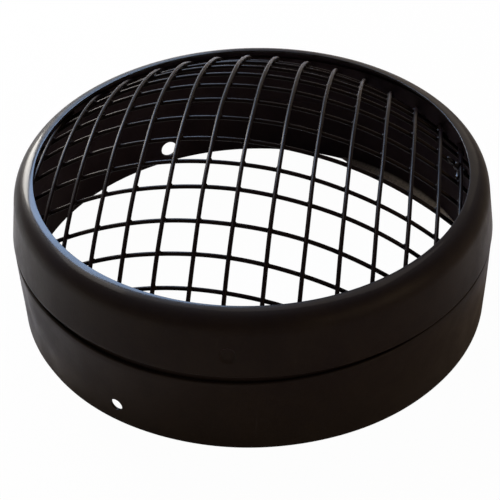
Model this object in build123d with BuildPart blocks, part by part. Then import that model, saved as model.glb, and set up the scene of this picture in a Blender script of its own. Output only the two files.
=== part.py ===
# Round headlamp stone guard: pressed rim and skirt rings around a domed welded wire net.
# Millimetres. The axis is Z, the skirt's foot stands on Z = 0 and the rim's lip faces +Z.
# The photograph looks along +Y from above.
import os
from math import asin, atan2, cos, pi, radians, sin, sqrt, tan

from build123d import *

skirt_radius = 95.0  # outside of the skirt, and of the rim's lower edge
skirt_height = 35.2  # foot to the skirt's top edge
sheet = 1.0  # thickness of the pressed sheet
joint_gap = 0.6  # skirt's top edge to the rim's lower edge
rim_height = 23.4  # rim's lower edge to the top of the lip
lip_reach = 11.0  # radial depth of the rim, outside to lip edge
shoulder_radius = 8.5  # rounding between the rim's band and its lip
inner_flats = 3  # the shoulder's hidden inner side is laid out in this many flats
neck_recess = 0.9  # gap between the skirt's wall and its inner neck
fit_play = 0.05  # room between the neck and the rim's band
flange_depth = 2.2  # fold between the wall and the neck
flange_drop = 0.5  # fold below the deepest point of the dip
wire_diameter = 1.6
wire_sides = 6  # the round wire's section is drawn with this many flats
wire_play = 0.08  # room at a crossing and at a wire's end
wire_pitch = 12.6  # along the wire, centre to centre
dome_rise = 37.1  # height of the net above its own edge
net_drop = 5.6  # net's edge below the neck's top
net_lean = 3.75  # the net was welded in a little askew: its dome's centre sits this far off the axis, to -X
net_turn = -8.9  # turn of the long wires seen from the front, degrees
net_skew = -1.9  # how far the cross wires are out of square, degrees
long_shift = -0.55  # how far the wires sit off the dome's centre, across the long wires
cross_shift = 0.7  # the same, across the cross wires
last_slip = -1.3  # the last long wire was welded in out of line, this far towards the centre
slip_wire = 4  # and so was this cross wire, counted from the near side
cross_slip = 1.4  # by this much, towards the far side
screw_hole = 5.2  # diameter of the two small holes in the skirt
screw_height = 8.5  # small holes' height over the foot
screw_turns = (237, 355.5)  # where they are, degrees from +X
wide_hole = 7.5  # diameter of the larger hole
wide_height = 6.9
wide_turn = 114
weld_dimple = 6.0  # diameter of a spot weld's dimple
weld_depth = 0.3
weld_height = 8.9  # weld above the rim's lower edge
weld_count = 3
weld_turn = 264  # where the first weld is
notch_depth = 3.05  # how far the skirt's top edge dips below the rim
notch_half = 72  # half width of that dip, degrees
notch_turn = 240
tab_reach = 4.4  # turned-in tab at the foot, inward from the wall
tab_start = 17  # tab's first corner, degrees from +X
tab_end = 63.5
tab_lead = 16  # slant at its start, degrees
tab_tail = 6.5  # slant at its end

os.makedirs("parts", exist_ok=True)

# Rim's section: a leaning band that runs tangent into the rounded shoulder, which ends level at the lip
edge_z = skirt_height + joint_gap
lip_z = edge_z + rim_height
lip_radius = skirt_radius - lip_reach
arc_z = lip_z - shoulder_radius
arc_rise = arc_z - edge_z
lean = atan2(lip_reach, arc_rise) - asin(shoulder_radius / sqrt(lip_reach**2 + arc_rise**2))
inner_arc = shoulder_radius - sheet
mid_angle = (pi / 2 + lean) / 2
band_inner = skirt_radius - sheet / cos(lean)

with BuildPart() as rim:
    with BuildSketch(Plane.XZ):
        with BuildLine():
            outer_low = (skirt_radius, edge_z)
            outer_high = (lip_radius + shoulder_radius * cos(lean), arc_z + shoulder_radius * sin(lean))
            outer_mid = (lip_radius + shoulder_radius * cos(mid_angle), arc_z + shoulder_radius * sin(mid_angle))
            inner_turns = [pi / 2 - (pi / 2 - lean) * k / inner_flats for k in range(inner_flats + 1)]
            inner_points = [
                (lip_radius + inner_arc * cos(t), arc_z + inner_arc * sin(t)) for t in inner_turns
            ]
            Line(outer_low, outer_high)
            ThreePointArc(outer_high, outer_mid, (lip_radius, lip_z))
            Polyline((lip_radius, lip_z), *inner_points, (band_inner, edge_z), outer_low)
        make_face()
    revolve(axis=Axis.Z)
    # spot welds: shallow dimples with sloping sides, one third of a turn apart
    weld_radius = skirt_radius - weld_height * tan(lean)
    for k in range(weld_count):
        a = radians(weld_turn + k * 360 / weld_count)
        seat = Plane(
            origin=(weld_radius * cos(a), weld_radius * sin(a), edge_z + weld_height),
            z_dir=(cos(lean) * cos(a), cos(lean) * sin(a), sin(lean)),
        )
        with Locations(seat.location):
            Cone(
                weld_dimple / 2 - 2 * weld_depth,
                weld_dimple / 2,
                2 * weld_depth,
                mode=Mode.SUBTRACT,
            )
rim.part.label = "rim_ring"
export_step(rim.part, "parts/rim_ring.step")

# Skirt: outer wall, and an inner neck that stands up inside the rim and carries the net
wall_inner = skirt_radius - sheet
neck_low = wall_inner - neck_recess
neck_top = arc_z + inner_arc * sin(lean)
# the neck goes straight up until it meets the rim's leaning band, then follows it
meet_z = edge_z + (band_inner - fit_play - neck_low) / tan(lean)
neck_high = neck_low - (neck_top - meet_z) * tan(lean)
flange_top = skirt_height - notch_depth - flange_drop
flange_low = flange_top - flange_depth
neck_inner = neck_low - sheet
neck_inner_high = neck_high - sheet

with BuildPart() as skirt:
    with BuildSketch(Plane.XZ):
        with BuildLine():
            Polyline(
                (skirt_radius, 0),
                (skirt_radius, skirt_height),
                (wall_inner, skirt_height),
                (wall_inner, flange_top),
                (neck_low, flange_top),
                (neck_low, meet_z),
                (neck_high, neck_top),
                (neck_inner_high, neck_top),
                (neck_inner, meet_z),
                (neck_inner, flange_low),
                (wall_inner, flange_low - neck_recess - sheet),
                (wall_inner, 0),
                close=True,
            )
        make_face()
    revolve(axis=Axis.Z)
    # the top edge of the wall is cut low on one side, which opens the joint to the rim
    a = radians(notch_turn)
    start = skirt_radius * cos(radians(notch_half))
    dip = atan2(notch_depth, skirt_radius - start)
    with BuildPart(mode=Mode.PRIVATE) as cutter:
        with Locations((0, 0, flange_top + flange_drop / 2)):
            Cylinder(skirt_radius + sheet, skirt_height, align=(Align.CENTER, Align.CENTER, Align.MIN))
            Cylinder(
                wall_inner - neck_recess / 2,
                skirt_height,
                align=(Align.CENTER, Align.CENTER, Align.MIN),
                mode=Mode.SUBTRACT,
            )
        cut = Plane(
            origin=(start * cos(a), start * sin(a), skirt_height),
            x_dir=(cos(dip) * cos(a), cos(dip) * sin(a), -sin(dip)),
            z_dir=(sin(dip) * cos(a), sin(dip) * sin(a), cos(dip)),
        )
        with Locations(cut.location):
            Box(
                4 * skirt_radius,
                4 * skirt_radius,
                4 * skirt_height,
                align=(Align.CENTER, Align.CENTER, Align.MIN),
                mode=Mode.INTERSECT,
            )
    add(cutter.part, mode=Mode.SUBTRACT)
    # holes in the wall: two small ones for screws and a larger one
    holes = [(turn, screw_hole, screw_height) for turn in screw_turns]
    holes.append((wide_turn, wide_hole, wide_height))
    for turn, size, height in holes:
        a = radians(turn)
        drill = Plane(
            origin=(skirt_radius * cos(a), skirt_radius * sin(a), height),
            z_dir=(cos(a), sin(a), 0),
        )
        with Locations(drill.location):
            Cylinder(size / 2, 8 * sheet, mode=Mode.SUBTRACT)
    # a tab turned in from the foot, with slanting ends
    tab_root = skirt_radius - sheet / 2
    tab_edge = wall_inner - tab_reach
    with BuildSketch(Plane.XY):
        with BuildLine():
            corner = [
                (r * cos(radians(t)), r * sin(radians(t)))
                for r, t in (
                    (tab_root, tab_start),
                    (tab_edge, tab_start + tab_lead),
                    (tab_edge, (tab_start + tab_lead + tab_end - tab_tail) / 2),
                    (tab_edge, tab_end - tab_tail),
                    (tab_root, tab_end),
                    (tab_root, (tab_start + tab_end) / 2),
                )
            ]
            Line(corner[0], corner[1])
            ThreePointArc(corner[1], corner[2], corner[3])
            Line(corner[3], corner[4])
            ThreePointArc(corner[4], corner[5], corner[0])
        make_face()
    extrude(amount=sheet)
skirt.part.label = "skirt_ring"
export_step(skirt.part, "parts/skirt_ring.step")

# Net: round wires on two concentric spheres, the long ones outside, so each crossing just touches
seat_z = neck_top - net_drop
seat_radius = neck_inner - (seat_z - meet_z) * tan(lean)
dome_radius = (seat_radius**2 + dome_rise**2) / (2 * dome_rise)
dome_z = seat_z + dome_rise - dome_radius
layer = (wire_diameter + wire_play) / 2
long_turn = radians(net_turn)
cross_turn = radians(net_turn + net_skew)
square = cos(net_skew * pi / 180)


def spread(away, shift):
    """Even steps along the dome to both sides of its centre, as far as a little over half a pitch from the seat."""
    step = wire_pitch / dome_radius
    most = int(1 / step)
    offsets = [dome_radius * sin((k + 0.5) * step) + shift for k in range(-most, most)]
    return [offset for offset in offsets if abs(offset - net_lean * away[0]) < seat_radius - 0.6 * wire_pitch]


# a long wire keeps its distance along (cos, sin) of its turn, a cross wire along (-sin, cos)
long_away = (cos(long_turn), sin(long_turn))
long_along = (-sin(long_turn), cos(long_turn))
cross_away = (-sin(cross_turn), cos(cross_turn))
cross_along = (cos(cross_turn), sin(cross_turn))
long_lines = spread(long_away, long_shift)
cross_lines = spread(cross_away, cross_shift)
long_lines[-1] += last_slip
cross_lines[slip_wire - 1] += cross_slip

# the room inside the neck, where the wires end
with BuildPart() as room:
    with BuildSketch(Plane.XZ):
        with BuildLine():
            far_top = neck_top + 2 * dome_rise
            Polyline(
                (0, 0),
                (neck_inner - wire_play, 0),
                (neck_inner - wire_play, meet_z),
                (neck_inner_high - wire_play, neck_top),
                (neck_inner_high - wire_play, far_top),
                (0, far_top),
                close=True,
            )
        make_face()
    revolve(axis=Axis.Z)

families = (
    ("wire_long", long_lines, long_away, long_along, cross_lines, cross_away, dome_radius + layer),
    ("wire_cross", cross_lines, cross_away, cross_along, long_lines, long_away, dome_radius - layer),
)
for family, lines, away, along, others, other_away, sphere in families:
    out = sphere / dome_radius
    for number, offset in enumerate(lines, 1):
        # the wire bends a little at each crossing, and runs on past the seat before it is cut off
        reach = sqrt((seat_radius + net_lean + 2 * wire_diameter) ** 2 - offset**2)
        slide = offset * (away[0] * other_away[0] + away[1] * other_away[1])
        stops = [(line - slide) / square for line in others]
        stops = [t for t in stops if abs(t) < reach - 2 * wire_diameter]
        points = [
            (
                out * (away[0] * offset + along[0] * t) - net_lean,
                out * (away[1] * offset + along[1] * t),
                dome_z + out * sqrt(dome_radius**2 - offset**2 - t**2),
            )
            for t in [-reach] + stops + [reach]
        ]
        with BuildPart() as wire:
            with BuildLine() as path:
                Polyline(*points)
            # one flat of the section faces straight out of the dome
            start = path.line @ 0
            forward = path.line % 0
            outward = start - Vector(-net_lean, 0, dome_z)
            with BuildSketch(Plane(origin=start, x_dir=outward.cross(forward), z_dir=forward)):
                RegularPolygon(
                    wire_diameter / 2,
                    wire_sides,
                    major_radius=False,
                    rotation=90 - 180 / wire_sides,
                )
            sweep(path=path.wires()[0], transition=Transition.RIGHT)
            add(room.part, mode=Mode.INTERSECT)
        wire.part.label = f"{family}_{number:02d}"
        export_step(wire.part, f"parts/{family}_{number:02d}.step")
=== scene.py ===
from math import asin, atan2, cos, pi, radians, sin, sqrt, tan

import bpy
import numpy as np
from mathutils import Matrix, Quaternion, Vector


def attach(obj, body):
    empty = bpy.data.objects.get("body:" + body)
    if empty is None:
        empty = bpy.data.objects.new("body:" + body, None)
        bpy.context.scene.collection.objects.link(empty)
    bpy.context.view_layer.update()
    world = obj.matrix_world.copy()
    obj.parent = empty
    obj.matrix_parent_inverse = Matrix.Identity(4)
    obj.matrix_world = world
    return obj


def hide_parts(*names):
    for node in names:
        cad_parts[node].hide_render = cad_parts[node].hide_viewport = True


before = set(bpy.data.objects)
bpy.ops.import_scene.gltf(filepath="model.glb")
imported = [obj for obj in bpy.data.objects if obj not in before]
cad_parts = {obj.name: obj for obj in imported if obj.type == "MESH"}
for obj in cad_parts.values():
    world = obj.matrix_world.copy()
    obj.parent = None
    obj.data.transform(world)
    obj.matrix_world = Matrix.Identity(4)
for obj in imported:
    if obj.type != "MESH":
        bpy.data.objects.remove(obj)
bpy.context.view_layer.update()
mm = 0.001
creaseAngle = 40  # degrees: edges flatter than this are shaded smooth
print("frame loaded:", len(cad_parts), "nodes")

# sizes of the pressed rings in millimetres, as the guard was drawn
ringSizes = {
    "outerRadius": 95.0, "skirtHeight": 35.2, "sheet": 1.0, "jointGap": 0.6,
    "rimHeight": 23.4, "lipReach": 11.0, "shoulderRadius": 8.5,
    "neckRecess": 0.9, "fitPlay": 0.05, "flangeDepth": 2.2, "flangeDrop": 0.5,
    "notchDepth": 3.05, "notchHalf": 72, "notchTurn": 240,
}
sheet = ringSizes["sheet"]
edgeZ = ringSizes["skirtHeight"] + ringSizes["jointGap"]
lipZ = edgeZ + ringSizes["rimHeight"]
lipRadius = ringSizes["outerRadius"] - ringSizes["lipReach"]
arcZ = lipZ - ringSizes["shoulderRadius"]
lean = atan2(ringSizes["lipReach"], arcZ - edgeZ) - asin(
    ringSizes["shoulderRadius"] / sqrt(ringSizes["lipReach"] ** 2 + (arcZ - edgeZ) ** 2)
)
bandInner = ringSizes["outerRadius"] - sheet / cos(lean)
innerArc = ringSizes["shoulderRadius"] - sheet
wallInner = ringSizes["outerRadius"] - sheet
neckLow = wallInner - ringSizes["neckRecess"]
neckTop = arcZ + innerArc * sin(lean)
meetZ = edgeZ + (bandInner - ringSizes["fitPlay"] - neckLow) / tan(lean)
neckHigh = neckLow - (neckTop - meetZ) * tan(lean)
flangeTop = ringSizes["skirtHeight"] - ringSizes["notchDepth"] - ringSizes["flangeDrop"]
flangeLow = flangeTop - ringSizes["flangeDepth"]


# mesh helpers

# cell (i, j) joins grid points (i, j), (i, j+1), (i+1, j+1), (i+1, j); a closed side wraps round
def gridQuads(rows, cols, closeRows=False, closeCols=False):
    i, j = np.meshgrid(
        np.arange(rows if closeRows else rows - 1),
        np.arange(cols if closeCols else cols - 1),
        indexing="ij",
    )
    iNext = (i + 1) % rows
    jNext = (j + 1) % cols
    corners = [i * cols + j, i * cols + jNext, iNext * cols + jNext, iNext * cols + j]
    return np.stack(corners, axis=-1).reshape(-1, 4)


# points in millimetres become a smooth-shaded object at the origin
def makePiece(name, points, faces, material, sharpAngle=creaseAngle):
    mesh = bpy.data.meshes.new(name)
    mesh.from_pydata((points * mm).tolist(), [], faces)
    mesh.polygons.foreach_set("use_smooth", np.ones(len(mesh.polygons), dtype=bool))
    mesh.update()
    mesh.set_sharp_from_angle(angle=radians(sharpAngle))
    mesh.materials.append(material)
    piece = bpy.data.objects.new(name, mesh)
    bpy.context.scene.collection.objects.link(piece)
    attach(piece, "root")
    return piece


# each corner of a closed outline becomes an arc: centre on the bisector at radius / sin(half angle)
# the radius is one for all corners or one for each
def roundCorners(corners, radius, steps=4):
    radius = np.broadcast_to(radius, len(corners))
    before = np.roll(corners, 1, axis=0) - corners
    after = np.roll(corners, -1, axis=0) - corners
    before = before / np.linalg.norm(before, axis=1, keepdims=True)
    after = after / np.linalg.norm(after, axis=1, keepdims=True)
    half = np.arccos(np.clip((before * after).sum(1), -1, 1)) / 2
    bisector = before + after
    bisector = bisector / np.linalg.norm(bisector, axis=1, keepdims=True)
    centre = corners + bisector * (radius / np.sin(half))[:, None]
    first = corners + before * (radius / np.tan(half))[:, None] - centre
    last = corners + after * (radius / np.tan(half))[:, None] - centre
    start = np.arctan2(first[:, 1], first[:, 0])
    turn = np.arctan2(last[:, 1], last[:, 0]) - start
    turn = (turn + pi) % (2 * pi) - pi
    angle = start[:, None] + turn[:, None] * np.linspace(0, 1, steps)[None, :]
    arc = radius[:, None, None] * np.stack([np.cos(angle), np.sin(angle)], axis=-1)
    return (centre[:, None, :] + arc).reshape(-1, 2)


# long straight runs of a closed outline get extra points, so that the sheet can be dented
# none comes nearer to an old point than a third of the spacing
def refineOutline(outline, longest):
    loop = np.vstack([outline, outline[:1]])
    run = np.concatenate([[0], np.cumsum(np.linalg.norm(np.diff(loop, axis=0), axis=1))])
    extra = np.arange(0, run[-1], longest)
    nearest = np.abs(extra[:, None] - run[None, :]).min(1)
    stations = np.union1d(run[:-1], extra[nearest > longest / 3])
    return np.stack([np.interp(stations, run, loop[:, 0]), np.interp(stations, run, loop[:, 1])], axis=1)


# angle between two turns, from -pi to pi
def turnBetween(angle, turn):
    return (angle - radians(turn) + pi) % (2 * pi) - pi


# shader helpers

# a node at its place in the editor, with its settings
def addNode(tree, kind, place=(0, 0), **settings):
    node = tree.nodes.new(kind)
    node.location = place
    for key, value in settings.items():
        setattr(node, key, value)
    return node


# a connection from one socket to another
def link(tree, source, target):
    tree.links.new(source, target)


# an empty group with its sockets; colours start as a tuple, values as a number
def newGroup(name, inputs, outputs):
    group = bpy.data.node_groups.new(name, "ShaderNodeTree")
    for socketName, start in inputs:
        kind = "NodeSocketColor" if isinstance(start, tuple) else "NodeSocketFloat"
        socket = group.interface.new_socket(name=socketName, in_out="INPUT", socket_type=kind)
        socket.default_value = start
    for socketName, kind in outputs:
        group.interface.new_socket(name=socketName, in_out="OUTPUT", socket_type=kind)
    given = addNode(group, "NodeGroupInput", (-900, 0))
    result = addNode(group, "NodeGroupOutput", (800, 0))
    return group, given, result


# noise on Object coordinates, with its scale from a socket
def addNoise(tree, vector, scale, place, detail, roughness):
    noise = addNode(tree, "ShaderNodeTexNoise", place)
    noise.inputs["Detail"].default_value = detail
    noise.inputs["Roughness"].default_value = roughness
    link(tree, vector, noise.inputs["Vector"])
    link(tree, scale, noise.inputs["Scale"])
    return noise


# values from low to high become 0 to 1
def addRamp(tree, source, low, high, place):
    ramp = addNode(tree, "ShaderNodeMapRange", place, interpolation_type="SMOOTHSTEP")
    ramp.inputs["From Min"].default_value = low
    ramp.inputs["From Max"].default_value = high
    link(tree, source, ramp.inputs["Value"])
    return ramp


# each noise: detail, roughness; each range: where its values start and stop to count
sprayLook = {
    "peelNoise": (2.5, 0.55), "patchNoise": (6, 0.65), "patchRange": (0.34, 0.66),
    "speckRange": (0.3, 0.7), "speckShare": 0.35,
}
scuffLook = {
    "drawnOut": (1, 1, 0.09), "streakNoise": (3, 0.6), "streakRange": (0.63, 0.72),
    "regionScale": 0.08, "regionNoise": (3, 0.6), "regionRange": (0.5, 0.68),
}
dustLook = {"grainNoise": (6, 0.7), "grainRange": (0.1, 0.6)}


# sprayed paint: orange peel height, patchy colour with fine specks, patchy gloss
def buildSprayCoat():
    group, given, result = newGroup(
        "sprayCoat",
        (("Peel Scale", 900.0), ("Patch Scale", 28.0), ("Gloss Low", 0.34), ("Gloss High", 0.5),
         ("Warm", (0.012, 0.010, 0.009, 1)), ("Cool", (0.009, 0.009, 0.010, 1))),
        (("Color", "NodeSocketColor"), ("Roughness", "NodeSocketFloat"), ("Height", "NodeSocketFloat")),
    )
    where = addNode(group, "ShaderNodeTexCoord", (-900, 300)).outputs["Object"]
    peel = addNoise(group, where, given.outputs["Peel Scale"], (-500, 300), *sprayLook["peelNoise"])
    link(group, peel.outputs["Fac"], result.inputs["Height"])
    patch = addNoise(group, where, given.outputs["Patch Scale"], (-500, 0), *sprayLook["patchNoise"])
    spread = addRamp(group, patch.outputs["Fac"], *sprayLook["patchRange"], (-250, 0))
    speck = addRamp(group, peel.outputs["Fac"], *sprayLook["speckRange"], (-250, 200))
    blend = addNode(group, "ShaderNodeMix", (-50, 100), data_type="FLOAT")
    blend.inputs["Factor"].default_value = sprayLook["speckShare"]
    link(group, spread.outputs["Result"], blend.inputs["A"])
    link(group, speck.outputs["Result"], blend.inputs["B"])
    tint = addNode(group, "ShaderNodeMix", (200, 100), data_type="RGBA")
    link(group, blend.outputs["Result"], tint.inputs["Factor"])
    link(group, given.outputs["Warm"], tint.inputs["A"])
    link(group, given.outputs["Cool"], tint.inputs["B"])
    link(group, tint.outputs["Result"], result.inputs["Color"])
    gloss = addNode(group, "ShaderNodeMapRange", (200, -150))
    link(group, spread.outputs["Result"], gloss.inputs["Value"])
    link(group, given.outputs["Gloss Low"], gloss.inputs["To Min"])
    link(group, given.outputs["Gloss High"], gloss.inputs["To Max"])
    link(group, gloss.outputs["Result"], result.inputs["Roughness"])
    return group


# scuffs: noise drawn out along the axis, kept where it peaks and where a coarse noise is high
def buildScuffMarks():
    group, given, result = newGroup(
        "scuffMarks", (("Streak Scale", 400.0), ("Amount", 0.5)), (("Mask", "NodeSocketFloat"),)
    )
    where = addNode(group, "ShaderNodeTexCoord", (-900, 300)).outputs["Object"]
    drawn = addNode(group, "ShaderNodeVectorMath", (-700, 300), operation="MULTIPLY")
    drawn.inputs[1].default_value = scuffLook["drawnOut"]
    link(group, where, drawn.inputs[0])
    scale = given.outputs["Streak Scale"]
    streak = addNoise(group, drawn.outputs["Vector"], scale, (-500, 300), *scuffLook["streakNoise"])
    peaks = addRamp(group, streak.outputs["Fac"], *scuffLook["streakRange"], (-250, 300))
    coarse = addNode(group, "ShaderNodeMath", (-700, 0), operation="MULTIPLY")
    coarse.inputs[1].default_value = scuffLook["regionScale"]
    link(group, scale, coarse.inputs[0])
    region = addNoise(group, where, coarse.outputs["Value"], (-500, 0), *scuffLook["regionNoise"])
    kept = addRamp(group, region.outputs["Fac"], *scuffLook["regionRange"], (-250, 0))
    both = addNode(group, "ShaderNodeMath", (0, 150), operation="MULTIPLY")
    link(group, peaks.outputs["Result"], both.inputs[0])
    link(group, kept.outputs["Result"], both.inputs[1])
    scaled = addNode(group, "ShaderNodeMath", (250, 150), operation="MULTIPLY")
    link(group, both.outputs["Value"], scaled.inputs[0])
    link(group, given.outputs["Amount"], scaled.inputs[1])
    link(group, scaled.outputs["Value"], result.inputs["Mask"])
    return group


# dust and painted light: grains that thin out with height above the foot; where they get a pale colour they
# lighten the paint, partly as dust and partly as painted light
def buildDustAndLightFilm():
    group, given, result = newGroup(
        "dustAndLightFilm", (("Grain Scale", 1500.0), ("Top", 0.01), ("Amount", 0.5)), (("Mask", "NodeSocketFloat"),)
    )
    where = addNode(group, "ShaderNodeTexCoord", (-900, 300)).outputs["Object"]
    split = addNode(group, "ShaderNodeSeparateXYZ", (-700, 100))
    link(group, where, split.inputs["Vector"])
    low = addNode(group, "ShaderNodeMapRange", (-450, 100), interpolation_type="SMOOTHSTEP")
    low.inputs["To Min"].default_value = 1
    low.inputs["To Max"].default_value = 0
    link(group, split.outputs["Z"], low.inputs["Value"])
    link(group, given.outputs["Top"], low.inputs["From Max"])
    grain = addNoise(group, where, given.outputs["Grain Scale"], (-500, 400), *dustLook["grainNoise"])
    grains = addRamp(group, grain.outputs["Fac"], *dustLook["grainRange"], (-250, 400))
    both = addNode(group, "ShaderNodeMath", (0, 200), operation="MULTIPLY")
    link(group, low.outputs["Result"], both.inputs[0])
    link(group, grains.outputs["Result"], both.inputs[1])
    scaled = addNode(group, "ShaderNodeMath", (250, 200), operation="MULTIPLY")
    link(group, both.outputs["Value"], scaled.inputs[0])
    link(group, given.outputs["Amount"], scaled.inputs[1])
    link(group, scaled.outputs["Value"], result.inputs["Mask"])
    return group


sprayCoat = buildSprayCoat()
scuffMarks = buildScuffMarks()
dustAndLightFilm = buildDustAndLightFilm()

# glossFrom, glossFull: millimetres below the lip's top where the rings' gloss starts and is full
ringPaint = {
    "peelScale": 1400, "peelDepth": 0.00007, "patchScale": 60, "glossLow": 0.30, "glossHigh": 0.40,
    "warm": (0.0215, 0.0150, 0.0122, 1), "cool": (0.0150, 0.0102, 0.0100, 1),
    "specular": 0.085, "tint": (1.0, 0.87, 0.68, 1), "coat": 0.34, "coatRoughness": 0.11,
    "glossFrom": 1.3, "glossFull": 0.5,
    "streakScale": 420, "scuffAmount": 0.10, "scuffColor": (0.10, 0.085, 0.075, 1),
    # the pale brown up to the skirt's top is partly dust, partly painted light that brightens the lower
    # skirt
    "dustScale": 1500, "dustAndLightTop": 0.036, "dustAndLightAmount": 0.03, "dustAndLightColor": (0.20, 0.165, 0.095, 1),
}
wirePaint = {
    "peelScale": 1600, "peelDepth": 0.00003, "patchScale": 60, "glossLow": 0.25, "glossHigh": 0.35,
    "warm": (0.0085, 0.0042, 0.0036, 1), "cool": (0.0062, 0.0034, 0.0038, 1),
    "specular": 0.11, "tint": (1.0, 0.82, 0.66, 1), "coat": 0.0, "coatRoughness": 0.2,
    "streakScale": 900, "scuffAmount": 0.12, "scuffColor": (0.09, 0.075, 0.065, 1),
    "dustScale": 2200, "dustAndLightTop": 0.04, "dustAndLightAmount": 0.0, "dustAndLightColor": (0.20, 0.155, 0.115, 1),
}
# the tab's top gets a near-white mix: partly dust, partly painted light standing in for light falling on the
# tab's top
tabPaintDustAndLight = {
    "peelScale": 700, "peelDepth": 0.00008, "patchScale": 60, "glossLow": 0.4, "glossHigh": 0.55,
    "warm": (0.0300, 0.0200, 0.0160, 1), "cool": (0.0180, 0.0120, 0.0110, 1),
    "specular": 0.15, "tint": (1.0, 0.9, 0.8, 1), "coat": 0.0, "coatRoughness": 0.3,
    "streakScale": 500, "scuffAmount": 0.3, "scuffColor": (0.3, 0.26, 0.22, 1),
    "dustScale": 900, "dustAndLightTop": 0.0022, "dustAndLightAmount": 1.5, "dustAndLightColor": (0.90, 0.80, 0.67, 1),
}
# thick glossy drips of the same paint
dripPaint = dict(wirePaint, coat=0.5, coatRoughness=0.08, peelDepth=0.00006)
# inside of the rings: a lighter, purpler copy of the rings' paint, rougher and without coat
insidePaint = dict(
    ringPaint, warm=(0.0380, 0.0250, 0.0290, 1), cool=(0.0250, 0.0165, 0.0225, 1),
    glossLow=0.45, glossHigh=0.6, coat=0.0, dustAndLightAmount=0.0,
)
# what all the paints share: how far dust dulls them and how strongly the peel shows
paintShared = {"dustDull": 0.4, "peelStrength": 0.6}


# black paint with scuffs, and dust that also serves as painted light, over it; the shader's own sockets hold
# what doesn't change
def buildPaint(name, look):
    material = bpy.data.materials.new(name)
    material.use_nodes = True
    tree = material.node_tree
    tree.nodes.clear()
    out = addNode(tree, "ShaderNodeOutputMaterial", (1000, 0))
    paint = addNode(tree, "ShaderNodeBsdfPrincipled", (700, 0))
    link(tree, paint.outputs["BSDF"], out.inputs["Surface"])
    paint.inputs["Specular IOR Level"].default_value = look["specular"]
    paint.inputs["Specular Tint"].default_value = look["tint"]
    paint.inputs["Coat Weight"].default_value = look["coat"]
    paint.inputs["Coat Roughness"].default_value = look["coatRoughness"]
    spray = addNode(tree, "ShaderNodeGroup", (-300, 200), node_tree=sprayCoat)
    for socketName, key in (
        ("Peel Scale", "peelScale"), ("Patch Scale", "patchScale"), ("Gloss Low", "glossLow"),
        ("Gloss High", "glossHigh"), ("Warm", "warm"), ("Cool", "cool"),
    ):
        spray.inputs[socketName].default_value = look[key]
    scuff = addNode(tree, "ShaderNodeGroup", (-300, -100), node_tree=scuffMarks)
    scuff.inputs["Streak Scale"].default_value = look["streakScale"]
    scuff.inputs["Amount"].default_value = look["scuffAmount"]
    dust = addNode(tree, "ShaderNodeGroup", (-300, -300), node_tree=dustAndLightFilm)
    dust.inputs["Grain Scale"].default_value = look["dustScale"]
    dust.inputs["Top"].default_value = look["dustAndLightTop"]
    dust.inputs["Amount"].default_value = look["dustAndLightAmount"]
    scuffed = addNode(tree, "ShaderNodeMix", (0, 200), data_type="RGBA")
    scuffed.inputs["B"].default_value = look["scuffColor"]
    link(tree, scuff.outputs["Mask"], scuffed.inputs["Factor"])
    link(tree, spray.outputs["Color"], scuffed.inputs["A"])
    # the colour mixed in here is partly dust and partly painted light on the tab's top and the lower skirt
    dustedAndLit = addNode(tree, "ShaderNodeMix", (250, 200), data_type="RGBA")
    dustedAndLit.inputs["B"].default_value = look["dustAndLightColor"]
    link(tree, dust.outputs["Mask"], dustedAndLit.inputs["Factor"])
    link(tree, scuffed.outputs["Result"], dustedAndLit.inputs["A"])
    link(tree, dustedAndLit.outputs["Result"], paint.inputs["Base Color"])
    rough = addNode(tree, "ShaderNodeMath", (250, -50), operation="MULTIPLY_ADD", use_clamp=True)
    rough.inputs[1].default_value = paintShared["dustDull"]
    link(tree, dust.outputs["Mask"], rough.inputs[0])
    link(tree, spray.outputs["Roughness"], rough.inputs[2])
    link(tree, rough.outputs["Value"], paint.inputs["Roughness"])
    bump = addNode(tree, "ShaderNodeBump", (450, -250))
    bump.inputs["Distance"].default_value = look["peelDepth"]
    bump.inputs["Strength"].default_value = paintShared["peelStrength"]
    link(tree, spray.outputs["Height"], bump.inputs["Height"])
    link(tree, bump.outputs["Normal"], paint.inputs["Normal"])
    return material, tree, paint


# the rings' gloss is full on top of the lip and fades away down the shoulder
def glossOnTop(tree, paint, look):
    where = addNode(tree, "ShaderNodeTexCoord", (-900, 600))
    split = addNode(tree, "ShaderNodeSeparateXYZ", (-700, 600))
    link(tree, where.outputs["Object"], split.inputs["Vector"])
    low, high = (lipZ - look["glossFrom"]) * mm, (lipZ - look["glossFull"]) * mm
    worn = addRamp(tree, split.outputs["Z"], low, high, (-400, 600))
    worn.inputs["To Max"].default_value = look["coat"]
    link(tree, worn.outputs["Result"], paint.inputs["Coat Weight"])


ringMaterial, ringTree, ringShader = buildPaint("ring_paint_worn", ringPaint)
glossOnTop(ringTree, ringShader, ringPaint)
wireMaterial = buildPaint("wire_paint_worn", wirePaint)[0]
tabMaterial = buildPaint("tab_paint_dust_and_light", tabPaintDustAndLight)[0]
dripMaterial = buildPaint("wire_paint_drips", dripPaint)[0]
insideMaterial = buildPaint("ring_paint_inside", insidePaint)[0]

# a face's normal counts as inward or as under below these values
insideFaces = {"inward": -0.2, "under": -0.3}


# faces below the lip that look towards the axis, or down above the joint, get the inside's paint
def paintInside(piece):
    polygons = piece.data.polygons
    piece.data.materials.append(insideMaterial)
    middle = np.empty(3 * len(polygons))
    normal = np.empty(3 * len(polygons))
    polygons.foreach_get("center", middle)
    polygons.foreach_get("normal", normal)
    middle, normal = middle.reshape(-1, 3), normal.reshape(-1, 3)
    outward = (normal[:, :2] * middle[:, :2]).sum(1) / np.hypot(middle[:, 0], middle[:, 1])
    under = (normal[:, 2] < insideFaces["under"]) & (middle[:, 2] > edgeZ * mm)
    inside = ((outward < insideFaces["inward"]) | under) & (middle[:, 2] < (lipZ - sheet) * mm)
    polygons.foreach_set("material_index", inside.astype(np.int32))


print("paints mixed")

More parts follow.
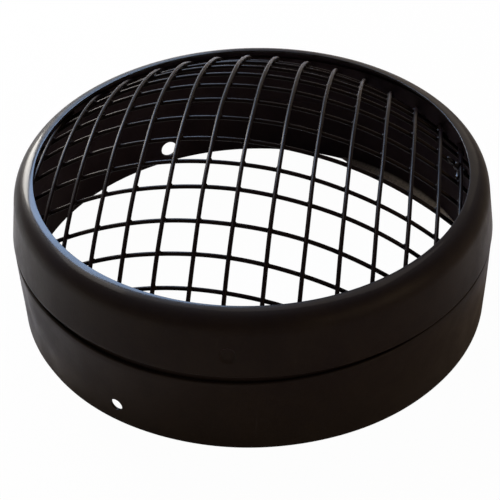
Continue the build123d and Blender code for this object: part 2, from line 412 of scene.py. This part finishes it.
# rim ring: the sheet's outline is carried round the axis
rimLook = {
    "turns": 540, "edgeRound": 0.3, "longest": 0.7, "lipRound": 0.2, "weldStep": 0.15, "weldReach": 2.4,
    "weldTurns": (264, 24, 144), "weldHeight": 8.9, "weldRadius": 3.0, "weldDepth": 0.6, "weldSlope": 0.5,
    "shoulderSteps": 16, "lipSteps": 5,
}


# lip's edge: cut square, with two small quarter rounds
def lipEdge():
    bend = rimLook["lipRound"]
    angle = np.linspace(pi / 2, pi, rimLook["lipSteps"])
    quarter = np.stack([lipRadius + bend + bend * np.cos(angle), bend * np.sin(angle) - bend], axis=1)
    upper = quarter + (0, lipZ)
    lower = quarter[::-1] * (1, -1) + (0, lipZ - sheet)
    return np.vstack([upper, lower])


# outline: band's lower edge, shoulder arc from the lean up to level, lip edge, the same one sheet further in
def rimOutline():
    rise = np.linspace(lean, pi / 2, rimLook["shoulderSteps"])
    arc = np.stack([np.cos(rise), np.sin(rise)], axis=1)
    middle = np.array([lipRadius, arcZ])
    outer = middle + ringSizes["shoulderRadius"] * arc
    inner = (middle + innerArc * arc)[::-1]
    corners = np.array([(ringSizes["outerRadius"], edgeZ), outer[0], inner[-1], (bandInner, edgeZ)])
    foot = roundCorners(corners, rimLook["edgeRound"]).reshape(4, -1, 2)
    return np.vstack([foot[0], outer[:-1], lipEdge(), inner[1:], foot[3]])


# even turns round the ring, with finer ones at the welds
def rimTurns():
    even = np.arange(rimLook["turns"]) * 360 / rimLook["turns"]
    fine = np.arange(-rimLook["weldReach"], rimLook["weldReach"], rimLook["weldStep"])
    away = np.abs((even[:, None] - np.array(rimLook["weldTurns"]) + 180) % 360 - 180).min(1)
    welds = (np.array(rimLook["weldTurns"])[:, None] + fine).ravel()
    return np.radians(np.sort(np.concatenate([even[away > rimLook["weldReach"]], welds])))


# ring point = (r cos a, r sin a, z); a weld presses the band in by its depth, with sloping sides
def buildRimRing():
    outline = refineOutline(rimOutline(), rimLook["longest"])
    angle = rimTurns()
    r = np.broadcast_to(outline[None, :, 0], (len(angle), len(outline))).copy()
    z = np.broadcast_to(outline[None, :, 1], r.shape)
    a = np.broadcast_to(angle[:, None], r.shape)
    for turn in rimLook["weldTurns"]:
        across = turnBetween(a, turn) * r
        up = (z - edgeZ - rimLook["weldHeight"]) / cos(lean)
        press = np.clip((rimLook["weldRadius"] - np.hypot(across, up)) / rimLook["weldSlope"], 0, 1)
        press = press * press * (3 - 2 * press) * rimLook["weldDepth"]
        r -= np.where(z < arcZ, press, 0)
    points = np.stack([r * np.cos(a), r * np.sin(a), z], axis=-1).reshape(-1, 3)
    quads = gridQuads(len(angle), len(outline), True, True)[:, ::-1]
    return makePiece("rim_sheet", points, quads.tolist(), ringMaterial)


rimSheet = buildRimRing()
paintInside(rimSheet)
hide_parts("rim_ring")
print("rim pressed:", len(rimSheet.data.polygons), "faces")

# skirt ring: wall, fold and neck as one outline; the wall's top edge dips on one side
# each hole: turn, height, radius; each dent: turn, height, size, depth
# each ripple: waves in a turn, slant with height, start
skirtLook = {
    "turns": 540, "edgeRound": 0.25, "topRound": 0.7, "longest": 2.0, "sideMargin": 0.01,
    "holes": ((237, 8.5, 2.6), (355.5, 8.5, 2.6), (114, 6.9, 3.75)), "holeSides": 40, "drillReach": 4.0,
    "dents": (
        (203, 14, 7, 0.5), (208, 22, 6, -0.3), (200, 26, 7, 0.3), (214, 8, 6, 0.35), (220, 24, 9, 0.25),
    ),
    "wave": 0.08, "ripples": ((5, 0.15, 0), (11, -0.2, 1)),
}


# the top edge lies on a plane tilted down towards the dip: height falls with distance past its start
def wallTop(angle):
    start = ringSizes["outerRadius"] * cos(radians(ringSizes["notchHalf"]))
    fall = ringSizes["notchDepth"] / (ringSizes["outerRadius"] - start)
    past = ringSizes["outerRadius"] * np.cos(angle - radians(ringSizes["notchTurn"])) - start
    return ringSizes["skirtHeight"] - np.clip(past, 0, None) * fall


# outline corners of the skirt's section, foot to neck and back down the inside
def skirtOutline():
    foldZ = flangeLow - ringSizes["neckRecess"] - sheet
    corners = np.array([
        (ringSizes["outerRadius"], 0), (ringSizes["outerRadius"], ringSizes["skirtHeight"]),
        (wallInner, ringSizes["skirtHeight"]), (wallInner, flangeTop), (neckLow, flangeTop),
        (neckLow, meetZ), (neckHigh, neckTop), (neckHigh - sheet, neckTop), (neckLow - sheet, meetZ),
        (neckLow - sheet, flangeLow), (wallInner, foldZ), (wallInner, 0),
    ])
    bends = np.full(len(corners), skirtLook["edgeRound"])
    bends[1] = skirtLook["topRound"]
    return roundCorners(corners, bends)


# where the top dips, the wall's outer side is squeezed from the foot up, its bent edge only lowered
# and the side towards the neck squeezed from the fold up
# a dent moves the wall in by depth * exp(-(distance / size)^2)
# the wave is the mean of slow ripples round the wall
def buildSkirtRing():
    outline = refineOutline(skirtOutline(), skirtLook["longest"])
    angle = np.linspace(0, 2 * pi, skirtLook["turns"], endpoint=False)
    r = np.broadcast_to(outline[None, :, 0], (len(angle), len(outline))).copy()
    z = np.broadcast_to(outline[None, :, 1], r.shape).copy()
    a = np.broadcast_to(angle[:, None], r.shape)
    onWall = r > wallInner - ringSizes["neckRecess"] / 2
    outerSide = r > wallInner + skirtLook["edgeRound"] + skirtLook["sideMargin"]
    top = wallTop(a)
    bendZ = ringSizes["skirtHeight"] - skirtLook["topRound"]
    lowered = z + top - ringSizes["skirtHeight"]
    squeezed = z * (top - skirtLook["topRound"]) / bendZ
    grooved = flangeTop + (z - flangeTop) * (top - flangeTop) / (ringSizes["skirtHeight"] - flangeTop)
    z = np.where(onWall & ~outerSide & (z > flangeTop), grooved, z)
    z = np.where(outerSide, np.where(z > bendZ, lowered, squeezed), z)
    for turn, height, size, depth in skirtLook["dents"]:
        across = turnBetween(a, turn) * r
        dent = depth * np.exp(-(across**2 + (z - height) ** 2) / size**2)
        r -= np.where(onWall, dent, 0)
    ripples = [np.sin(waves * a + slant * z + start) for waves, slant, start in skirtLook["ripples"]]
    r += np.where(onWall, skirtLook["wave"] * (np.mean(ripples, axis=0) - 1), 0)
    points = np.stack([r * np.cos(a), r * np.sin(a), z], axis=-1).reshape(-1, 3)
    quads = gridQuads(len(angle), len(outline), True, True)[:, ::-1]
    return makePiece("skirt_sheet", points, quads.tolist(), ringMaterial)


# drill: a closed rod along the hole's axis, circle (cos, sin) in the plane across it
def buildDrill(turn, height, radius):
    sides = skirtLook["holeSides"]
    t = np.linspace(0, 2 * pi, sides, endpoint=False)
    out = np.array([cos(radians(turn)), sin(radians(turn)), 0])
    across = np.array([-out[1], out[0], 0])
    ring = radius * (np.cos(t)[:, None] * across + np.sin(t)[:, None] * np.array([0, 0, 1]))
    middle = ringSizes["outerRadius"] * out + np.array([0, 0, height])
    reach = skirtLook["drillReach"] * out
    ends = np.vstack([ring + middle - reach, ring + middle + reach])
    side = gridQuads(2, sides, False, True).tolist()
    caps = [list(range(sides - 1, -1, -1)), list(range(sides, 2 * sides))]
    mesh = bpy.data.meshes.new("drill")
    mesh.from_pydata((ends * mm).tolist(), [], side + caps)
    drill = bpy.data.objects.new("drill", mesh)
    bpy.context.scene.collection.objects.link(drill)
    return drill


# the drills are cut out of the sheet, and what is left becomes its mesh
def drillHoles(piece):
    drills = [buildDrill(*hole) for hole in skirtLook["holes"]]
    for drill in drills:
        cut = piece.modifiers.new("hole", "BOOLEAN")
        cut.operation = "DIFFERENCE"
        cut.solver = "EXACT"
        cut.object = drill
    ready = bpy.context.evaluated_depsgraph_get()
    piece.data = bpy.data.meshes.new_from_object(piece.evaluated_get(ready))
    piece.modifiers.clear()
    for drill in drills:
        bpy.data.objects.remove(drill)
    piece.data.polygons.foreach_set("use_smooth", np.ones(len(piece.data.polygons), dtype=bool))
    piece.data.set_sharp_from_angle(angle=radians(creaseAngle))


skirtSheet = buildSkirtRing()
drillHoles(skirtSheet)
paintInside(skirtSheet)
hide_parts("skirt_ring")
print("skirt folded and drilled:", len(skirtSheet.data.polygons), "faces")

# tab turned in from the foot of the skirt
tabLook = {
    "start": 17, "end": 63.5, "lead": 16, "tail": 6.5, "reach": 4.4, "fold": 1.8, "leastShare": 0.02,
    "steps": 120, "edgeRound": 0.12, "longest": 0.06,
}


# inner edge runs from the wall to the reach over the lead, stays, and comes back over the tail
# the top climbs the wall as a quarter round: fold - sqrt(fold^2 - depth^2)
def buildFootTab():
    angle = np.linspace(tabLook["start"], tabLook["end"], tabLook["steps"])
    root = ringSizes["outerRadius"] - sheet / 2
    growing = (angle - tabLook["start"]) / tabLook["lead"]
    fading = (tabLook["end"] - angle) / tabLook["tail"]
    share = np.clip(np.minimum(growing, fading), tabLook["leastShare"], 1)
    edge = root - (root - wallInner + tabLook["reach"]) * share
    square = np.array([(0.0, 0.0), (1.0, 0.0), (1.0, 1.0), (0.0, 1.0)])
    section = refineOutline(roundCorners(square, tabLook["edgeRound"]), tabLook["longest"])
    r = root + (edge - root)[:, None] * section[None, :, 0]
    fold = tabLook["fold"] * share[:, None]
    depth = np.clip(r - wallInner + fold, 0, fold)
    z = section[None, :, 1] * (sheet + fold - np.sqrt(fold**2 - depth**2))
    a = np.radians(angle)[:, None]
    points = np.stack([r * np.cos(a), r * np.sin(a), z], axis=-1).reshape(-1, 3)
    quads = gridQuads(len(angle), len(section), False, True).tolist()
    last = (len(angle) - 1) * len(section)
    caps = [list(range(len(section) - 1, -1, -1)), list(range(last, last + len(section)))]
    return makePiece("foot_tab", points, quads + caps, tabMaterial)


footTab = buildFootTab()
print("tab turned in:", len(footTab.data.polygons), "faces")

# net: two families of round wires on two spheres with one centre, the long ones outside
# each nudge is how far a wire was welded out of line, from the left and from the near side
netLook = {
    "diameter": 1.6, "play": 0.08, "pitch": 12.6, "rise": 37.1, "drop": 5.6, "lean": 3.75,
    "turn": -8.9, "skew": -1.9, "longShift": -0.55, "crossShift": 0.7,
    "lastSlip": -1.3, "slipWire": 4, "crossSlip": 1.4,
    "longNudges": (-0.6, 0, -0.5, 0, -0.2, -0.1, 0.1, -0.2, 0.2, 0.2, 0.2, 0.1, -0.1, -0.3, -0.4),
    "crossNudges": (-0.2, -0.1, 0.1, 0.3, 0.8, 0.2, 0.1, -0.1, 0, 0.2, 0, -0.2, -0.2, -0.2),
    "sides": 14, "stations": 110, "sink": 0.3, "edgeClear": 0.6, "overrun": 4, "trials": 3000,
    "wobble": 0.06, "wobbleLengths": (17, 7.3), "wobbleStep": 1.7, "sharpAngle": 60,
}
seatZ = neckTop - netLook["drop"]
neckInner = neckLow - sheet
seatRadius = neckInner - (seatZ - meetZ) * tan(lean)
domeRadius = (seatRadius**2 + netLook["rise"] ** 2) / (2 * netLook["rise"])
domeCentre = np.array([-netLook["lean"], 0, seatZ + netLook["rise"] - domeRadius])
layer = (netLook["diameter"] + netLook["play"]) / 2
longTurn = radians(netLook["turn"])
crossTurn = radians(netLook["turn"] + netLook["skew"])
longAway = np.array([cos(longTurn), sin(longTurn)])
longAlong = np.array([-sin(longTurn), cos(longTurn)])
crossAway = np.array([-sin(crossTurn), cos(crossTurn)])
crossAlong = np.array([cos(crossTurn), sin(crossTurn)])


# even steps along the dome, as far as a little over half a pitch from the seat, then nudged
def spreadLines(away, shift, nudges):
    step = netLook["pitch"] / domeRadius
    count = np.arange(-int(1 / step), int(1 / step))
    offsets = domeRadius * np.sin((count + 0.5) * step) + shift
    limit = seatRadius - netLook["edgeClear"] * netLook["pitch"]
    offsets = offsets[np.abs(offsets - netLook["lean"] * away[0]) < limit]
    return offsets + np.array(nudges)


longLines = spreadLines(longAway, netLook["longShift"], netLook["longNudges"])
crossLines = spreadLines(crossAway, netLook["crossShift"], netLook["crossNudges"])
longLines[-1] += netLook["lastSlip"]
crossLines[netLook["slipWire"] - 1] += netLook["crossSlip"]


# point of the dome: the offsets' place in plan, pushed out along the dome's normal by the layer
def domePoint(plan, lift):
    scale = 1 + lift / domeRadius
    height = np.sqrt(domeRadius**2 - (plan**2).sum(-1))
    return domeCentre + scale * np.concatenate([plan, height[..., None]], axis=-1)


# path from wall to wall: inside the neck, whose radius falls with its lean above the meeting height
# it drifts sideways by two sine waves along its length
def wirePath(offset, away, along, lift, phase):
    reach = seatRadius + netLook["lean"] + netLook["overrun"]
    t = np.linspace(-1, 1, netLook["trials"]) * sqrt(reach**2 - offset**2)
    path = domePoint(offset * away + t[:, None] * along, lift)
    wall = neckInner - np.clip(path[:, 2] - meetZ, 0, None) * tan(lean)
    inside = t[np.hypot(path[:, 0], path[:, 1]) < wall + netLook["sink"]]
    t = np.linspace(inside[0], inside[-1], netLook["stations"])
    slow, quick = netLook["wobbleLengths"]
    drift = netLook["wobble"] * (np.sin(t / slow + phase) + np.sin(t / quick + 2 * phase))
    return domePoint((offset + drift)[:, None] * away + t[:, None] * along, lift)


# tube: a circle in the plane of the dome's normal and the side direction, carried along the path
def buildWire(name, path):
    forward = np.gradient(path, axis=0)
    forward = forward / np.linalg.norm(forward, axis=1, keepdims=True)
    outward = path - domeCentre
    outward = outward - (outward * forward).sum(1, keepdims=True) * forward
    outward = outward / np.linalg.norm(outward, axis=1, keepdims=True)
    side = np.cross(forward, outward)
    sides = netLook["sides"]
    angle = np.linspace(0, 2 * pi, sides, endpoint=False)
    level = np.cos(angle)[None, :, None] * side[:, None, :]
    upright = np.sin(angle)[None, :, None] * outward[:, None, :]
    points = (path[:, None, :] + netLook["diameter"] / 2 * (level + upright)).reshape(-1, 3)
    quads = gridQuads(len(path), sides, False, True)[:, ::-1].tolist()
    last = (len(path) - 1) * sides
    caps = [list(range(sides)), list(range(last + sides - 1, last - 1, -1))]
    faces = quads + caps
    piece = makePiece(name + "_round", points, faces, wireMaterial, netLook["sharpAngle"])
    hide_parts(name)
    return piece


# the long wires lie one layer outside the dome, the cross wires one layer inside
def buildNet():
    families = (
        ("wire_long", longLines, longAway, longAlong, layer),
        ("wire_cross", crossLines, crossAway, crossAlong, -layer),
    )
    wires = []
    for family, lines, away, along, lift in families:
        for number, offset in enumerate(lines, 1):
            path = wirePath(offset, away, along, lift, number * netLook["wobbleStep"])
            wires.append(buildWire(f"{family}_{number:02d}", path))
    return wires


netWires = buildNet()
print("net drawn:", len(netWires), "wires")

# welds: a flattened bead at each crossing, and a few lumps of paint by the last long wire
# each lump: long wire counted from 0, steps back from it, cross wire, steps back, and three sizes
# sizes run along the cross wire, along the long wire and out from the dome
weldLook = {
    "bead": (1.15, 1.1, 0.85), "rings": 5, "sides": 12, "margin": 2.0, "sharpAngle": 180,
    "lumps": (
        (14, -0.16, 8, 0.1, 1.6, 2.0, 1.5), (14, 0.06, 8, 0.05, 2.3, 1.9, 1.7),
        (14, 0.38, 8, 0.05, 2.6, 1.0, 1.0), (14, 0.1, 8, 0.65, 0.9, 3.2, 1.1),
    ),
}


# unit ball: rings of points between two poles, with fans of triangles at the poles
def unitBall(rings, sides):
    polar = np.linspace(0, pi, rings + 2)[1:-1]
    around = np.linspace(0, 2 * pi, sides, endpoint=False)
    p, q = np.meshgrid(polar, around, indexing="ij")
    body = np.stack([np.sin(p) * np.cos(q), np.sin(p) * np.sin(q), np.cos(p)], axis=-1).reshape(-1, 3)
    points = np.vstack([body, (0, 0, 1), (0, 0, -1)])
    j = np.arange(sides)
    jNext = (j + 1) % sides
    top = np.column_stack([np.full(sides, rings * sides), j, jNext])
    low = (rings - 1) * sides
    bottom = np.column_stack([np.full(sides, rings * sides + 1), low + jNext, low + j])
    return points, gridQuads(rings, sides, False, True)[:, ::-1], np.vstack([top, bottom])


# crossing of two lines in plan: solve long away . p = long offset, cross away . p = cross offset
def crossingPlan(longOffset, crossOffset):
    wanted = np.stack(np.broadcast_arrays(longOffset, crossOffset), axis=-1)
    return wanted @ np.linalg.inv(np.stack([longAway, crossAway])).T


# each bead is the ball stretched along the cross wire, the long wire and the dome's normal
def buildBeads(name, plan, sizes, material):
    centres = domePoint(plan, 0)
    wall = neckInner - np.clip(centres[:, 2] - meetZ, 0, None) * tan(lean)
    kept = np.hypot(centres[:, 0], centres[:, 1]) < wall - weldLook["margin"]
    centres, sizes = centres[kept], sizes[kept]
    normal = (centres - domeCentre) / np.linalg.norm(centres - domeCentre, axis=1, keepdims=True)
    across = np.append(crossAlong, 0) - normal * (normal @ np.append(crossAlong, 0))[:, None]
    across = across / np.linalg.norm(across, axis=1, keepdims=True)
    along = np.cross(normal, across)
    ball, quads, fans = unitBall(weldLook["rings"], weldLook["sides"])
    axes = np.stack([across, along, normal], axis=1) * sizes[:, :, None]
    points = (centres[:, None, :] + ball @ axes).reshape(-1, 3)
    shift = (np.arange(len(centres)) * len(ball))[:, None, None]
    faces = (quads + shift).reshape(-1, 4).tolist() + (fans + shift).reshape(-1, 3).tolist()
    return makePiece(name, points, faces, material, weldLook["sharpAngle"])


weldPlan = crossingPlan(longLines[:, None], crossLines[None, :]).reshape(-1, 2)
beadSizes = np.tile(weldLook["bead"], (len(weldPlan), 1))
crossingWelds = buildBeads("crossing_welds", weldPlan, beadSizes, wireMaterial)
lumps = np.array(weldLook["lumps"])
longPlaces = np.append(longLines, longLines[-1] + netLook["pitch"])
lumpLong = np.interp(lumps[:, 0] - lumps[:, 1], np.arange(len(longPlaces)), longPlaces)
lumpCross = np.interp(lumps[:, 2] - lumps[:, 3], np.arange(len(crossLines)), crossLines)
paintLumps = buildBeads("paint_lumps", crossingPlan(lumpLong, lumpCross), lumps[:, 4:], dripMaterial)
print("welds set:", len(crossingWelds.data.polygons) + len(paintLumps.data.polygons), "faces")

# stage: floor, world, lamps and camera
stageLook = {
    "floorSize": 6.0, "floorDrop": 0.0001, "floorColor": (0.84, 0.70, 0.58, 1), "whiteSeen": 0.98,
    "mirroredNear": 0.08, "mirroredFar": 1.0, "nearEdge": 0.08, "farEdge": 0.24,
    "tintEdge": 0.12, "rightTint": (0.36, 0.29, 0.22, 1),
    "horizon": (0.32, 0.27, 0.23, 1), "zenith": (0.035, 0.034, 0.036, 1), "climb": (0.1, 0.5),
}


# how much white a ray sees: all of it from the camera, and a set share in mirrors and glass
def addWhiteShare(tree):
    path = addNode(tree, "ShaderNodeLightPath", (-500, 300))
    bent = addNode(tree, "ShaderNodeMath", (-300, 300), operation="MAXIMUM")
    link(tree, path.outputs["Is Glossy Ray"], bent.inputs[0])
    link(tree, path.outputs["Is Transmission Ray"], bent.inputs[1])
    seen = addNode(tree, "ShaderNodeMath", (-100, 400), operation="MULTIPLY")
    seen.inputs[1].default_value = stageLook["whiteSeen"]
    link(tree, path.outputs["Is Camera Ray"], seen.inputs[0])
    share = addNode(tree, "ShaderNodeMath", (100, 300), operation="MULTIPLY_ADD")
    share.inputs[1].default_value = stageLook["mirroredNear"]
    link(tree, bent.outputs["Value"], share.inputs[0])
    link(tree, seen.outputs["Value"], share.inputs[2])
    return bent, share


# the camera sees a white floor, mirrors see some of that white, more of it further out and tinted at the
# right, and all else sees a lit floor with shadows
def buildFloor():
    size = stageLook["floorSize"] / 2
    mesh = bpy.data.meshes.new("floor")
    corners = [(-size, -size, 0), (size, -size, 0), (size, size, 0), (-size, size, 0)]
    mesh.from_pydata(corners, [], [(0, 1, 2, 3)])
    floor = bpy.data.objects.new("floor", mesh)
    floor.location.z = -stageLook["floorDrop"]
    bpy.context.scene.collection.objects.link(floor)
    material = bpy.data.materials.new("pale_floor")
    material.use_nodes = True
    tree = material.node_tree
    tree.nodes.clear()
    out = addNode(tree, "ShaderNodeOutputMaterial", (600, 0))
    matt = addNode(tree, "ShaderNodeBsdfDiffuse", (0, 0))
    matt.inputs["Color"].default_value = stageLook["floorColor"]
    white = addNode(tree, "ShaderNodeEmission", (0, -200))
    bent, share = addWhiteShare(tree)
    where = addNode(tree, "ShaderNodeTexCoord", (-900, 0))
    split = addNode(tree, "ShaderNodeSeparateXYZ", (-700, 0))
    link(tree, where.outputs["Object"], split.inputs["Vector"])
    away = addNode(tree, "ShaderNodeMath", (-500, 100), operation="ABSOLUTE")
    link(tree, split.outputs["X"], away.inputs[0])
    reach = addRamp(tree, away.outputs["Value"], stageLook["nearEdge"], stageLook["farEdge"], (-300, 100))
    reach.inputs["To Min"].default_value = stageLook["mirroredNear"]
    reach.inputs["To Max"].default_value = stageLook["mirroredFar"]
    link(tree, reach.outputs["Result"], share.inputs[1])
    right = addRamp(tree, split.outputs["X"], 0, stageLook["tintEdge"], (-500, -200))
    mirrored = addNode(tree, "ShaderNodeMath", (-300, -200), operation="MULTIPLY")
    link(tree, right.outputs["Result"], mirrored.inputs[0])
    link(tree, bent.outputs["Value"], mirrored.inputs[1])
    tint = addNode(tree, "ShaderNodeMix", (-150, -200), data_type="RGBA")
    tint.inputs["A"].default_value = (1, 1, 1, 1)
    tint.inputs["B"].default_value = stageLook["rightTint"]
    link(tree, mirrored.outputs["Value"], tint.inputs["Factor"])
    link(tree, tint.outputs["Result"], white.inputs["Color"])
    mix = addNode(tree, "ShaderNodeMixShader", (400, 0))
    link(tree, share.outputs["Value"], mix.inputs["Fac"])
    link(tree, matt.outputs["BSDF"], mix.inputs[1])
    link(tree, white.outputs["Emission"], mix.inputs[2])
    link(tree, mix.outputs["Shader"], out.inputs["Surface"])
    mesh.materials.append(material)


# pale at the horizon and dark overhead for the object, white for the camera
def buildWorld():
    world = bpy.data.worlds.new("studio")
    bpy.context.scene.world = world
    world.use_nodes = True
    tree = world.node_tree
    tree.nodes.clear()
    out = addNode(tree, "ShaderNodeOutputWorld", (600, 0))
    back = addNode(tree, "ShaderNodeBackground", (400, 0))
    where = addNode(tree, "ShaderNodeTexCoord", (-400, 0))
    split = addNode(tree, "ShaderNodeSeparateXYZ", (-200, 0))
    link(tree, where.outputs["Generated"], split.inputs["Vector"])
    climb = addRamp(tree, split.outputs["Z"], *stageLook["climb"], (0, 0))
    mix = addNode(tree, "ShaderNodeMix", (200, 0), data_type="RGBA")
    mix.inputs["A"].default_value = stageLook["horizon"]
    mix.inputs["B"].default_value = stageLook["zenith"]
    link(tree, climb.outputs["Result"], mix.inputs["Factor"])
    white = addNode(tree, "ShaderNodeMix", (300, 200), data_type="RGBA")
    white.inputs["B"].default_value = (1, 1, 1, 1)
    link(tree, addWhiteShare(tree)[1].outputs["Value"], white.inputs["Factor"])
    link(tree, mix.outputs["Result"], white.inputs["A"])
    link(tree, white.outputs["Result"], back.inputs["Color"])
    link(tree, back.outputs["Background"], out.inputs["Surface"])


# each lamp: azimuth and elevation as seen from the guard, distance, width, height, radiance, colour
lampLook = {
    "windowLow": (127, 18.5, 1.0, 0.28, 0.36, 15.0, (1.0, 0.97, 0.92)),
    "windowFar": (104, 18, 1.0, 0.36, 0.34, 2.4, (0.5, 0.7, 1.0)),
    "windowHigh": (114, 44, 1.0, 0.52, 0.42, 15.0, (0.42, 0.62, 1.0)),
    "leftSky": (150, 52, 1.2, 0.45, 0.4, 2.6, (1.0, 0.93, 0.86)),
    "rightFill": (325, 22, 1.4, 1.2, 0.7, 1.2, (1.0, 0.82, 0.62)),
    "ceiling": (90, 66, 1.2, 1.2, 0.6, 0.8, (1.0, 0.9, 0.82)),
    "rightWall": (66, 24, 1.2, 0.7, 0.6, 0.45, (1.0, 0.88, 0.68)),
}
lampAim = Vector((0, 0, 0.045))


# lamp power = radiance * pi * area
def buildLamp(name, azimuth, elevation, distance, width, height, radiance, color):
    a, e = radians(azimuth), radians(elevation)
    back = Vector((cos(a) * cos(e), sin(a) * cos(e), sin(e)))
    data = bpy.data.lights.new(name, "AREA")
    data.shape = "RECTANGLE"
    data.size, data.size_y = width, height
    data.energy = radiance * pi * width * height
    data.color = color
    lamp = bpy.data.objects.new(name, data)
    lamp.location = lampAim + back * distance
    lamp.rotation_mode = "QUATERNION"
    lamp.rotation_quaternion = (-back).to_track_quat("-Z", "Y")
    bpy.context.scene.collection.objects.link(lamp)


# camera: distance from the foot's centre, tilt down, roll, focal length in pixels, where that centre lands
cameraLook = {
    "distance": 0.5115, "elevation": 40.58, "roll": 1.63, "focalPixels": 1219, "framePixels": 500,
    "centrePixel": (254.2, 276.7), "sensor": 36.0, "clip": (0.01, 50),
}


# the camera looks at the foot's centre; the shift moves that centre to its pixel
def buildCamera():
    data = bpy.data.cameras.new("camera")
    data.sensor_width = cameraLook["sensor"]
    data.lens = cameraLook["focalPixels"] * cameraLook["sensor"] / cameraLook["framePixels"]
    half = cameraLook["framePixels"] / 2
    data.shift_x = (half - cameraLook["centrePixel"][0]) / cameraLook["framePixels"]
    data.shift_y = (cameraLook["centrePixel"][1] - half) / cameraLook["framePixels"]
    data.clip_start, data.clip_end = cameraLook["clip"]
    camera = bpy.data.objects.new("camera", data)
    e = radians(cameraLook["elevation"])
    back = Vector((0, -cos(e), sin(e)))
    camera.location = back * cameraLook["distance"]
    camera.rotation_mode = "QUATERNION"
    roll = Quaternion((0, 0, 1), radians(-cameraLook["roll"]))
    camera.rotation_quaternion = (-back).to_track_quat("-Z", "Y") @ roll
    bpy.context.scene.collection.objects.link(camera)
    bpy.context.scene.camera = camera


buildFloor()
buildWorld()
for lampName, lampValues in lampLook.items():
    buildLamp(lampName, *lampValues)
buildCamera()
bpy.context.scene.view_settings.view_transform = "Standard"
print("stage lit")
